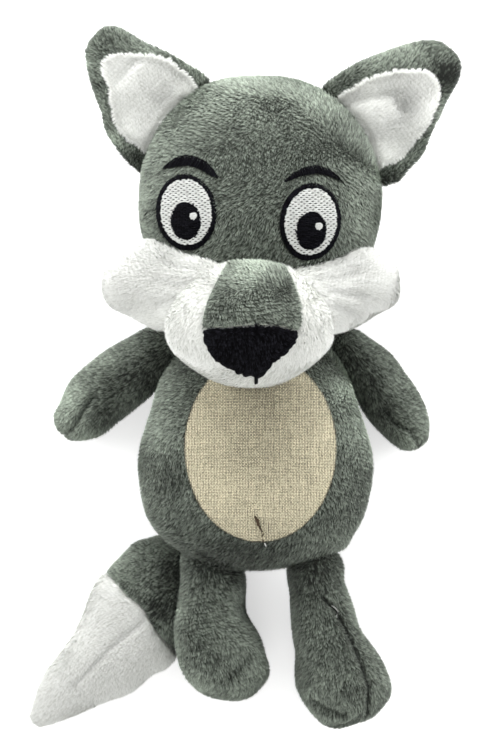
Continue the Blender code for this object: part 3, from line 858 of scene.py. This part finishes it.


# the stuffed forms, in metres; pulls draw the cloth to the outline in the photograph, as (pixel, reach, shift), and
# brushed patches are (pixel, reach, how light), their lightness being painted light and shade, with pixels taken at
# the form's level above the surface
stuffedForm = {"voxel": 0.0019, "clothVoxel": 0.0042, "soften": 5, "evened": 5, "yielding": 1, "setIn": 0.0006,
               "tuckedOut": 0.0005, "lumpSize": 0.03, "lowest": 0.0004, "rim": 0.003, "pulls": (), "creases": ()}
whiteForms = {
    "left_cheek": {
        "voxel": 0.0017, "lumps": 0.0006, "seed": 21, "fill": 0.8, "count": 32000, "level": 0.075,
        "nap": (-0.9, -0.3, -0.2),
        "pulls": [((136, 327), 20, (0, -7)), ((120, 317), 16, (0, -3))],
        "brushedAndLitPatches": [((165, 250), 26, -1.1), ((125, 270), 22, -0.4), ((150, 320), 22, 0.8)],
        "creases": [
            seam(((205, 268), (188, 268), (168, 262)), 0.075, 0.0018, 0.0008),
            seam(((200, 280), (180, 284), (158, 280)), 0.075, 0.002, 0.0007),
            seam(((192, 290), (176, 300), (160, 304)), 0.072, 0.0019, 0.0007)]},
    "right_cheek": {
        "voxel": 0.0017, "lumps": 0.0006, "seed": 22, "fill": 0.8, "count": 30000, "level": 0.075,
        "nap": (0.9, -0.3, -0.2),
        "pulls": [((382, 327), 26, (-3, -13)), ((356, 338), 16, (0, -4))],
        "brushedAndLitPatches": [((345, 262), 28, -1.0), ((378, 272), 24, -0.7)],
        "creases": [
            seam(((308, 268), (325, 266), (342, 258)), 0.075, 0.0018, 0.001),
            seam(((318, 278), (338, 279), (356, 272)), 0.075, 0.002, 0.0009),
            seam(((328, 290), (346, 296), (362, 296)), 0.072, 0.0019, 0.0008),
            seam(((334, 306), (346, 312), (358, 316)), 0.07, 0.0018, 0.0007)]},
    "muzzle": {
        "voxel": 0.0018, "backed": 0.004, "soften": 9, "evened": 10, "yielding": 0.25, "setIn": 0.0001,
        "lumpSize": 0.04, "lumps": 0.0004, "seed": 23, "fill": 0.95, "count": 50000, "level": 0.098,
        "nap": (0.0, -0.9, -0.3),
        "brushedAndLitPatches": [((206, 280), 12, -1.6), ((250, 340), 90, 0.35), ((246, 378), 24, 0.6)],
        "creases": [
            seam(((203, 330), (204, 319), (206, 301), (214, 283)), 0.098, 0.0012, 0.0008),
            seam(((298, 331), (300, 320), (300, 301), (294, 283)), 0.098, 0.0012, 0.0008)]},
    "tail_tip": {
        "lumps": 0.0007, "seed": 24, "fill": 0.75, "count": 44000, "level": 0.016, "nap": (-0.7, -0.7, 0.0),
        "pulls": [
            ((104, 585), 22, (7, -5)), ((132, 615), 24, (8, -7)), ((130, 688), 26, (3, 6)),
            ((167, 662), 18, (3, 9)), ((70, 614), 30, (11, 3)), ((54, 650), 28, (8, 3)), ((102, 572), 8, (4, 1))],
        "brushedAndLitPatches": [((84, 634), 26, 0.3)],
        "creases": [
            seam(((148, 616), (128, 634), (110, 649), (92, 667), (74, 685)), 0.02, 0.0014, 0.0009)]},
}
greyForms = {
    "torso": {
        "voxel": 0.0023, "lumpSize": 0.045, "lumps": 0.0007, "seed": 1, "fill": 0.85, "count": 118000,
        "level": 0.055, "nap": (-0.25, -1.0, 0.0),
        "pulls": [((338, 548), 14, (6, 3))],
        "brushedAndLitPatches": [
            ((165, 392), 20, 0.4), ((160, 435), 20, 0.75), ((152, 470), 14, 0.35), ((172, 480), 16, -0.35),
            ((172, 525), 26, -0.25), ((345, 390), 18, 2.0), ((352, 430), 22, 0.95), ((368, 455), 14, 0.55),
            ((352, 480), 16, 0.1), ((335, 535), 24, 0.05), ((265, 556), 50, -0.35), ((215, 556), 30, -0.3)],
        "creases": [
            seam(((253, 511), (257.5, 522), (263, 534)), 0.052, 0.0016, 0.001),
            seam(((200, 551), (214, 559), (232, 565)), 0.04, 0.0015, 0.0012),
            seam(((291, 565), (308, 565), (326, 561), (344, 553)), 0.04, 0.0015, 0.0012)]},
    "head": {
        "voxel": 0.0023, "lumpSize": 0.05, "lumps": 0.0006, "seed": 2, "fill": 0.95, "count": 132000,
        "level": 0.08, "nap": (-0.5, -0.85, 0.0),
        "brushedAndLitPatches": [
            ((262, 92), 42, 0.7), ((215, 98), 26, 0.6), ((320, 98), 26, 0.65), ((262, 160), 50, -0.1),
            ((146, 190), 12, 0.4), ((154, 205), 10, -0.3), ((160, 150), 20, 0.25), ((378, 165), 14, 0.9),
            ((362, 205), 22, 0.6), ((345, 160), 20, 0.3), ((188, 171), 14, 0.15), ((314, 184), 14, 0.25),
            ((262, 230), 30, -0.05), ((230, 130), 18, -0.2)],
        "creases": [
            seam(((262, 108), (275, 112), (290, 107)), 0.07, 0.0012, 0.0007),
            seam(((250, 100), (265, 104), (280, 101)), 0.07, 0.0012, 0.0006)]},
    "left_ear": {
        "voxel": 0.0015, "clothVoxel": 0.003, "soften": 1, "recess": 0.0008, "setIn": 0.0004, "lumps": 0.0006,
        "seed": 3, "fill": 0.3, "count": 40000, "level": 0.047, "nap": (-0.65, 0.75, 0.0),
        "pulls": [
            ((90, 38), 12, (3, 1)), ((150, 42), 22, (-1, 3)), ((107, 132), 16, (-3.5, 1)),
            ((200, 75), 12, (1.5, -2.5))],
        "brushedAndLitPatches": [
            ((98, 85), 8, -0.5), ((110, 46), 12, -0.25), ((88, 62), 6, 0.5), ((150, 46), 12, 0.5),
            ((190, 70), 12, 0.3), ((104, 112), 10, 0.2), ((113, 142), 9, 1.3), ((124, 152), 8, 0.2),
            ((138, 158), 7, -0.7)],
        "creases": [
            seam(((138, 60), (127, 72), (116, 86)), 0.05, 0.0016, 0.0007)]},
    "right_ear": {
        "voxel": 0.0015, "clothVoxel": 0.003, "soften": 1, "recess": 0.0008, "setIn": -0.0005, "lumps": 0.0006,
        "seed": 4, "fill": 0.3, "count": 42000, "level": 0.047, "nap": (0.75, 0.65, 0.0),
        "pulls": [((440, 40), 20, (0, 4)), ((416, 150), 18, (6, 3)), ((398, 176), 10, (3, -1))],
        "brushedAndLitPatches": [
            ((375, 64), 16, 0.45), ((405, 52), 14, 0.45), ((345, 82), 10, -0.2), ((446, 76), 17, -1.2),
            ((444, 120), 12, 0.2), ((420, 160), 12, 0.1), ((390, 176), 8, -0.5)],
        "creases": [
            seam(((352, 104), (372, 98), (392, 97), (400, 110)), 0.05, 0.0026, 0.0012)]},
    "left_arm": {
        "lumpSize": 0.025, "lumps": 0.0005, "seed": 5, "fill": 0.75, "count": 46000, "level": 0.022,
        "nap": (-0.75, -0.6, 0.0),
        "pulls": [((56, 402), 16, (4, 2)), ((100, 434), 18, (3, 3))],
        "brushedAndLitPatches": [
            ((165, 352), 22, -0.4), ((148, 378), 20, -0.6), ((120, 372), 18, -0.35), ((108, 408), 14, -0.35),
            ((112, 360), 9, 0.5), ((72, 400), 16, 0.95), ((62, 420), 9, 0.5), ((80, 436), 12, 0.5)],
        "creases": [
            seam(((60, 437), (66, 433), (75, 425), (86, 408), (95, 398)), 0.022, 0.0014, 0.0024)]},
    "right_arm": {
        "lumpSize": 0.025, "lumps": 0.0005, "seed": 6, "fill": 0.75, "count": 42000, "level": 0.022,
        "nap": (0.5, -0.85, 0.0),
        "pulls": [((422, 425), 26, (4, 4)), ((376, 338), 18, (-5, 1))],
        "brushedAndLitPatches": [
            ((346, 358), 22, -0.5), ((368, 380), 18, -0.6), ((380, 405), 16, -0.35), ((398, 365), 10, -0.05),
            ((412, 390), 12, -0.15), ((422, 420), 10, 0.15), ((407, 443), 11, 0.4)],
        "creases": [
            seam(((384, 408), (394, 421), (408, 430), (420, 444)), 0.022, 0.0013, 0.0014)]},
    "left_leg": {
        "voxel": 0.002, "setIn": 0.0002, "lumps": 0.0007, "seed": 7, "fill": 0.7, "count": 58000, "level": 0.03,
        "nap": (0.25, -1.0, 0.0),
        "pulls": [((264, 617), 26, (-15, 0)), ((265, 676), 16, (7, 0)), ((220, 703), 24, (2, -4))],
        "brushedAndLitPatches": [
            ((205, 566), 26, -0.5), ((235, 575), 14, -0.5), ((180, 610), 10, 0.45), ((178, 650), 12, 0.3),
            ((256, 665), 12, 0.5), ((200, 690), 16, 0.35), ((240, 692), 12, 0.4), ((245, 610), 12, -0.2),
            ((205, 660), 14, -0.1)],
        "creases": [
            seam(((224, 680), (232, 674), (240, 668), (246, 660)), 0.036, 0.0024, 0.0012, foldShade=0.3),
            seam(((200, 640), (212, 652), (222, 668)), 0.036, 0.003, 0.0006, foldShade=0.15)]},
    "right_leg": {
        "voxel": 0.002, "setIn": -0.0002, "lumps": 0.0007, "seed": 8, "fill": 0.7, "count": 62000, "level": 0.03,
        "nap": (0.3, -1.0, 0.0),
        "pulls": [
            ((283, 657), 30, (12, 0)), ((369, 627), 22, (-8.5, 0)), ((376, 645), 18, (-4, 0)),
            ((387, 692), 18, (5, 2)), ((366, 722), 12, (5, 0)), ((342, 565), 12, (5, 0))],
        "brushedAndLitPatches": [
            ((312, 572), 26, -0.6), ((298, 630), 12, -0.25), ((340, 620), 12, -0.3), ((356, 610), 8, 0.3),
            ((382, 680), 12, 0.15), ((330, 650), 26, -0.2), ((350, 690), 10, -0.3), ((310, 705), 14, 0.2),
            ((345, 720), 12, 0.3)],
        "creases": [
            seam(((322, 596), (335, 610), (349, 638), (361, 666), (368, 687), (367, 715)),
                 0.034, 0.0012, 0.0022, foldShade=1.1),
            seam(((318, 600), (331, 614), (344, 641), (356, 668), (363, 688), (362, 714)), 0.034, 0.0011, -0.0009),
            seam(((313, 700), (328, 708), (345, 714)), 0.03, 0.002, 0.0016)]},
    "tail_base": {
        "lumps": 0.0007, "seed": 9, "fill": 0.75, "count": 36000, "level": 0.016, "nap": (-0.7, -0.7, 0.0),
        "pulls": [
            ((140, 540), 12, (-6, 0)), ((110, 558), 16, (3, 3)), ((102, 572), 8, (4, 1)),
            ((104, 585), 22, (7, -5)), ((132, 615), 24, (8, -7))],
        "brushedAndLitPatches": [
            ((160, 605), 20, -0.75), ((170, 570), 16, -0.6), ((124, 558), 12, 0.15), ((150, 536), 12, 0.3),
            ((132, 590), 10, -0.1)]},
}

# the pile of each plush, in metres and radians but for the lean, which is in degrees; what goes for all of them
# stands first
# the tone of the brushed patches is painted light and shade; their lean is real
pileShape = {"width": 0.00028, "widths": (0.7, 1.3), "lengths": (0.7, 1.15), "leans": 0.12, "turns": 0.14,
             "twists": 0.5, "tuftSize": (0.0015, 0.00052, 0.00085), "tuftTurn": 0.35, "tuftShare": 1, "clump": 0.6,
             "skew": 1, "rowSize": 0.0015, "rows": 0.12, "rowWarp": 2.2, "rowWarpSize": 0.012, "warp": 0.0005,
             "warpSize": 0.009, "blur": 0.00012, "leanRange": (0.1, 1.35), "toneShares": (0.60, 0.22, 0.18),
             "swirl": 0.5, "swirlSize": 0.035, "paintedLightTone": 0.55, "brushLean": 0.25, "brushedAndLitPatches": (), "creases": (),
             "level": 0.05, "underneath": 0.35, "lowest": 0.0002, "bareBelow": 0.0009}
greyPileShape = {**pileShape, "length": 0.0019, "lean": 46, "relief": 0.5}
whitePileShape = {**pileShape, "length": 0.0017, "lean": 50, "relief": 0.22, "swirl": 0.4, "tuftShare": 0.55}
earPileShape = {**pileShape, "length": 0.0017, "lean": 50, "relief": 0.40}
blackPileShape = {**pileShape, "length": 0.0014, "lean": 45, "relief": 0.5, "spread": 0.0018, "skew": 1.6}

# what is sewn or stitched on each form, where its pile doesn't grow, as pixels of the photograph
bellyOutline = nodeOutline("belly_panel", 96)
nosePixels = ((203, 328.5), (223.5, 327), (249, 325), (275, 325.5), (298, 330.5), (297.5, 335), (294, 343.5),
              (285.5, 353.5), (275.5, 362), (268.5, 369), (260.5, 376.5), (251, 377), (241, 374), (231, 369),
              (218, 362.6), (209.5, 354), (204.5, 342))
bridgePixels = ((203, 328), (223.5, 326.5), (249, 324.5), (275, 325), (298.5, 330), (301, 319), (299, 302),
                (293, 281.5), (283.5, 262.5), (271.5, 258.5), (249, 257), (230, 259), (218, 281.5), (210, 298.5),
                (204.5, 316))
noseOutline = evenOutline(nosePixels, 0.098, 90, grow=-0.0009, ragged=0.00035)
bridgeOutline = evenOutline(bridgePixels, 0.096, 90)
eyeOutlines = {side: nodeOutline(f"{side}_eye_outline", 72) for side in ("left", "right")}
liningHeight = 0.047
liningPixels = {
    "left": ((102, 60), (108.7, 55.8), (120.9, 53.8), (132, 54.3), (141.3, 55.8), (152.6, 55.8), (164.8, 59.9),
             (173, 65), (185.2, 73.2), (192.3, 81.3), (199, 90), (202, 98), (187, 107), (170, 124), (160, 141),
             (152, 153), (140.3, 148.7), (132, 142.6), (125, 136.4), (115.8, 125.2), (113.3, 115), (110.2, 99.7),
             (109.7, 86.4), (104.6, 78.3), (102.6, 69)),
    "right": ((330, 103), (340, 95.5), (355, 86), (371.4, 77.9), (387, 74), (403, 71.6), (415.5, 71.5),
              (428, 72.2), (433, 76), (436.6, 82), (438.7, 91.7), (438, 100), (435.6, 106.8), (431, 118),
              (426.8, 127), (418, 138), (410.4, 147), (400.4, 158.4), (388, 165), (377.7, 169.7), (366, 172),
              (356, 150), (345, 130), (333, 113)),
}
liningOutlines = {side: evenOutline(pixels, liningHeight, 90, ragged=0.0003)
                  for side, pixels in liningPixels.items()}

# the eyebrows' outlines as pixels of the photograph, from one end along the top and back below
browHeight = 0.080
browPixels = {
    "left": ((162.5, 166.5), (169.5, 160.5), (177, 156), (186, 154.3), (195, 156), (207.5, 162.2), (215.2, 172),
             (218.5, 178.6), (213.5, 176.8), (201, 168.6), (188.5, 164.3), (175.5, 164.8)),
    "right": ((283.5, 182.6), (293.5, 174.2), (303.5, 168.3), (317.5, 165.6), (329.2, 169.3), (338, 176),
              (343.5, 182.3), (336, 178.4), (327, 174.8), (315.5, 173.3), (299.5, 176.3), (288, 181.8)),
}
browOutlines = {side: np.array([fromPhoto(pixel, browHeight) for pixel in pixels])
                for side, pixels in browPixels.items()}
bellyEdge = {"in": 0.0003, "ragged": 0.0003, "seed": 61, "halfWidth": 0.035}
raggedEdge = np.random.default_rng(bellyEdge["seed"]).normal(size=len(bellyOutline)) * bellyEdge["ragged"]
raggedEdge = 1 - (bellyEdge["in"] + raggedEdge) / bellyEdge["halfWidth"]
keepOut = {
    "torso": [bellyOutline.mean(0) + (bellyOutline - bellyOutline.mean(0)) * raggedEdge[:, None]],
    "head": [*eyeOutlines.values(), *browOutlines.values()],
    "muzzle": [noseOutline, bridgeOutline],
    "left_ear": [liningOutlines["left"]],
    "right_ear": [liningOutlines["right"]],
}

forms = {name: {**stuffedForm, **form} for name, form in {**greyForms, **whiteForms}.items()}
movements = stuffedMovement(forms)
print("cloth simulated")

skins = {}
for name, form in forms.items():
    cloth = (whiteShadedBacking, "white_plush") if name in whiteForms else (greyShadedBacking, "grey_plush")
    recess = liningOutlines.get(name.split("_")[0]) if name.endswith("ear") else None
    skins[name] = makeSkin(name, form, movements.get(name), *cloth, recess)
print("skins ready:", sum(len(skin.data.polygons) for skin in skins.values()), "faces")

for name, form in greyForms.items():
    shape = earPileShape if name.endswith("ear") else greyPileShape
    growPile(f"{name}_pile", skins[name], {**shape, **form}, greyPile, keepOut.get(name, ()))
for name, form in whiteForms.items():
    growPile(f"{name}_pile", skins[name], {**whitePileShape, **form}, whitePile,
             keepOut.get(name, ()))
print("pile ready")

trees = {name: surfaceOf(skins[name].data)
         for name in ("head", "torso", "muzzle", "left_ear", "right_ear", "right_leg")}

# panels of plush sewn on the muzzle and in the ears, with brushed patches of painted light and shade
panels = {
    "muzzle_bridge": {
        "outline": bridgeOutline, "on": "muzzle", "lift": 0.0007, "cloth": (greyPile, greyShadedBacking, "grey_plush"),
        "shape": {**greyPileShape, "length": 0.0017, "count": 18000, "seed": 31, "nap": (0.1, -1.0, -0.2),
                  "spread": 0.0014, "level": 0.100, "brushedAndLitPatches": [
                      ((256, 266), 22, 1.0), ((240, 276), 14, 0.3), ((245, 312), 10, 0.2), ((262, 296), 14, -0.1)]}},
    "nose": {
        "outline": noseOutline, "on": "muzzle", "lift": 0.0009, "cloth": (blackPile, blackShadedBacking, "black_plush"),
        "shape": {**blackPileShape, "count": 14000, "seed": 32, "nap": (0.2, -1.0, -0.4)}},
    "left_ear_lining": {
        "outline": liningOutlines["left"], "on": "left_ear", "lift": 0.0005,
        "cloth": (whitePile, whiteShadedBacking, "white_plush"),
        "shape": {**whitePileShape, "count": 26000, "seed": 33, "nap": (-0.6, 0.7, 0.1), "spread": 0.002,
                  "level": 0.047, "brushedAndLitPatches": [
                      ((115, 70), 9, -0.9), ((165, 100), 12, -1.0), ((148, 122), 13, -0.5),
                      ((140, 142), 10, -0.3)]}},
    "right_ear_lining": {
        "outline": liningOutlines["right"], "on": "right_ear", "lift": 0.0005,
        "cloth": (whitePile, whiteShadedBacking, "white_plush"),
        "shape": {**whitePileShape, "count": 28000, "seed": 34, "nap": (0.7, 0.6, 0.1), "spread": 0.002,
                  "level": 0.047, "brushedAndLitPatches": [
                      ((409, 106), 15, -2.1), ((398, 118), 9, -1.0), ((370, 138), 9, -1.0),
                      ((350, 115), 9, -0.4), ((370, 88), 12, 0.9)]}},
}
panelThickness = 0.0006
for name, panel in panels.items():
    pile, backing, slot = panel["cloth"]
    outline = drawnIn(panel["outline"], trees[panel["on"]])
    cloth = drapedPanel(f"{name}_skin", outline, trees[panel["on"]], panel["lift"], panelThickness, backing)
    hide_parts(name)
    growPile(f"{name}_pile", cloth, panel["shape"], pile, only=outline)
print("panels ready")


# plain weave: two sets of arched threads that pass over and under each other, on a dark ground that paints the shade
# in the gaps between them
def weaveLinen():
    # the band under the chin, the dips and the rim paint shade into the threads' tone
    linen = {"pitch": 0.00064, "width": 0.00051, "wave": 0.00015, "lift": 0.0006, "stepsPerCrossing": 2,
             "seed": 41, "chinShadeWidth": 0.017, "chinShadeTone": 0.36, "under": 1.0, "rim": 0.0005, "turnedIn": 1.06,
             "shade": {"warp": 0.66, "weft": 0.46}, "shades": 0.06, "widths": (0.88, 1.10), "wobble": 0.00006,
             "speck": 0.25, "groundLift": 0.0004, "groundThickness": 0.0005}
    random = np.random.default_rng(linen["seed"])
    ground = drapedPanel("belly_panel_ground", bellyOutline, trees["torso"], linen["groundLift"],
                         linen["groundThickness"], linenShadeGround, rings=20)
    low, high = bellyOutline.min(0), bellyOutline.max(0)
    centre = (low + high) / 2
    for setName, along, over in (("warp", 1, 0), ("weft", 0, 1)):
        bm = bmesh.new()
        tone = bm.verts.layers.float.new("tuft")
        across = 1 - along
        threadCount = int((high[across] - low[across]) / linen["pitch"])
        for thread in range(threadCount):
            base = low[across] + (thread + 0.5) * linen["pitch"]
            shade = linen["shade"][setName] + random.uniform(-linen["shades"], linen["shades"])
            wobble = random.uniform(0, 6.28)
            width = linen["width"] * random.uniform(*linen["widths"])
            previous = None
            runs = np.arange(low[along], high[along], linen["pitch"] / linen["stepsPerCrossing"])
            spots = np.empty((len(runs), 2))
            spots[:, along], spots[:, across] = runs, base + linen["wobble"] * np.sin(runs * 900 + wobble)
            inside = insideOutline(spots, bellyOutline)
            # painted shade at the panel's rim, under the pile around it
            pileShadeAtRim = np.exp(-(distanceToPath(spots, closed(bellyOutline)) / linen["rim"]) ** 2)
            for step, (run, spot, rim) in enumerate(zip(runs, spots, pileShadeAtRim)):
                if not inside[step]:
                    previous = None
                    continue
                hit, normal = dropOn(trees["torso"], *spot)
                phase = math.cos(math.pi * (step / linen["stepsPerCrossing"] - 0.5 + thread + over))
                middle = hit + normal * (linen["lift"] + linen["wave"] * phase)
                direction = Vector((0, 1, 0)) if along else Vector((1, 0, 0))
                sideways = direction.cross(normal).normalized() * width / 2
                # painted shade: a darker band runs down the middle from under the chin, strongest near the chin
                fromChinShade = (spot[0] - centre[0]) / linen["chinShadeWidth"]
                upShare = (spot[1] - low[1]) / (high[1] - low[1])
                chinShade = linen["chinShadeTone"] * math.exp(-fromChinShade ** 2) * min(1, max(0, upShare * 1.5 - 0.25))
                # painted light and shade: the tone is lighter on top of each crossing and darker where a thread dips
                # under the other set, in the band under the chin and at the rim
                speck = random.uniform(-linen["speck"], linen["speck"]) - chinShade + linen["under"] * (phase - 0.4) - rim
                row = []
                for aside in (-1, 1):
                    vert = bm.verts.new(middle + sideways * aside)
                    vert[tone] = shade + 0.08 * math.sin(run * 310 + wobble) + speck
                    row.append(vert)
                if previous:
                    bm.faces.new((previous[0], previous[1], row[1], row[0]))
                previous = row
        bmesh.ops.recalc_face_normals(bm, faces=bm.faces)
        mesh = meshFrom(bm, f"belly_panel_{setName}")
        mesh.shade_smooth()
        if sum(face.normal.z for face in mesh.polygons) < 0:
            mesh.flip_normals()
        addPiece(f"belly_panel_{setName}", mesh, linenThread)
    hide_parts("belly_panel")
    width, height = (float(size) * linen["turnedIn"] for size in high - low)


weaveLinen()
print("linen ready")

# embroidered eyes: a black outline, a white field and a pupil with a highlight
eyeThread = {"pitch": 0.00042, "length": 0.0023, "gap": 0.0, "height": 0.00024, "lift": 0.0006, "ragged": 0.00035,
             "seed": 51, "overlap": 1.12, "uneven": 0.00003, "step": 0.0001, "shortest": 0.0003,
             "shortestEnd": 0.0005}
browAngle = {"left": 62, "right": 112}
eyeTree = trees["head"]
for side in ("left", "right"):
    outer = nodeOutline(f"{side}_eye_outline", 72, grow=-0.0002)
    white = nodeOutline(f"{side}_eye_white", 72, grow=-0.0004)
    pupil = nodeOutline(f"{side}_pupil", 72)
    glint = nodeOutline(f"{side}_eye_highlight", 36, grow=-0.0004)
    drapedPanel(f"{side}_eye_ground", nodeOutline(f"{side}_eye_outline", 72, grow=-0.0006), eyeTree, 0.0003,
                0.0004, darkBacking, rings=10)
    ring = ringOfStitches(f"{side}_eye_outline_stitches", eyeTree, outer, white,
                          {**eyeThread, "pitch": 0.00034, "lift": 0.00075, "overlap": 1.25}, blackThread)
    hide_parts(f"{side}_eye_outline")
    fields = (
        ("eye_white", whiteThread, "white_thread", white, pupil,
         {"angle": 0.06, "gap": 0.0009, "lift": 0.0009, "ragged": 0.0007}),
        ("pupil", blackThread, "black_thread", pupil, glint, {"angle": -0.08, "lift": 0.0009}),
        ("eye_highlight", whiteThread, "white_thread", glint, None,
         {"angle": 0.2, "lift": 0.0010, "ragged": 0.0002}),
    )
    for part, thread, slot, outside, hole, change in fields:
        def within(spots, outside=outside, hole=hole):
            inside = insideOutline(spots, outside)
            return inside if hole is None else inside & ~insideOutline(spots, hole)

        stitched = fillWithStitches(f"{side}_{part}_stitches", eyeTree, (outside.min(0), outside.max(0)), within,
                                    {**eyeThread, **change}, thread, change["angle"])
        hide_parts(f"{side}_{part}")
    brow = browOutlines[side]
    stitched = fillWithStitches(
        f"{side}_eyebrow_stitches", eyeTree, (brow.min(0), brow.max(0)),
        lambda spots, brow=brow: insideOutline(spots, brow),
        {**eyeThread, "pitch": 0.00034, "length": 0.0060, "ragged": 0.0004, "lift": 0.0010}, blackThread,
        math.radians(browAngle[side]))
    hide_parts(f"{side}_eyebrow")
print("embroidery ready")


# single stitches between pairs of photograph pixels
def handStitches(name, on, material, stitches, width, height, lift):
    made = []
    for *ends, level in stitches:
        start, end = (dropOn(trees[on], *fromPhoto(pixel, level)) for pixel in ends)
        made.append((*start, *end, width, height))
    return stitchMesh(name, made, material, lift, np.random.default_rng(71))


handStitches("nose_seam_stitches", "muzzle", paleThread, [
    ((217, 327), (225, 326.5), 0.100), ((236, 326), (243, 325), 0.101), ((245, 324.5), (252, 324), 0.101),
    ((259, 324), (267, 324.5), 0.101), ((277, 325.5), (284, 326.5), 0.100)], 0.0004, 0.0003, 0.0019)
handStitches("chin_stitch", "muzzle", blackThread, [
    ((254.8, 371), (255.2, 379.5), 0.085), ((256.2, 371), (256.6, 379), 0.085)], 0.0010, 0.0008, 0.0016)
handStitches("belly_dart_stitches", "torso", brownThread, [
    ((254.6, 516), (256.2, 521), 0.054), ((255.8, 515.3), (257.4, 520.5), 0.054), ((255.6, 518), (258.6, 525), 0.054),
    ((257, 518), (259.8, 524.5), 0.054), ((258.4, 523), (261.6, 530.6), 0.053),
    ((261, 534.5), (263, 535.2), 0.050), ((262, 538.4), (264, 539), 0.048)], 0.0007, 0.0005, 0.0010)
handStitches("belly_thread_end", "torso", whiteThread, [((264.6, 540.5), (265.8, 543.4), 0.048)],
             0.0005, 0.0004, 0.0014)
handStitches("right_leg_seam_stitches", "right_leg", whiteThread, [
    ((331.5, 608.5), (334, 612), 0.034), ((336.5, 616.5), (338.2, 618.5), 0.034)], 0.0005, 0.0004, 0.0016)
print("stitches ready")
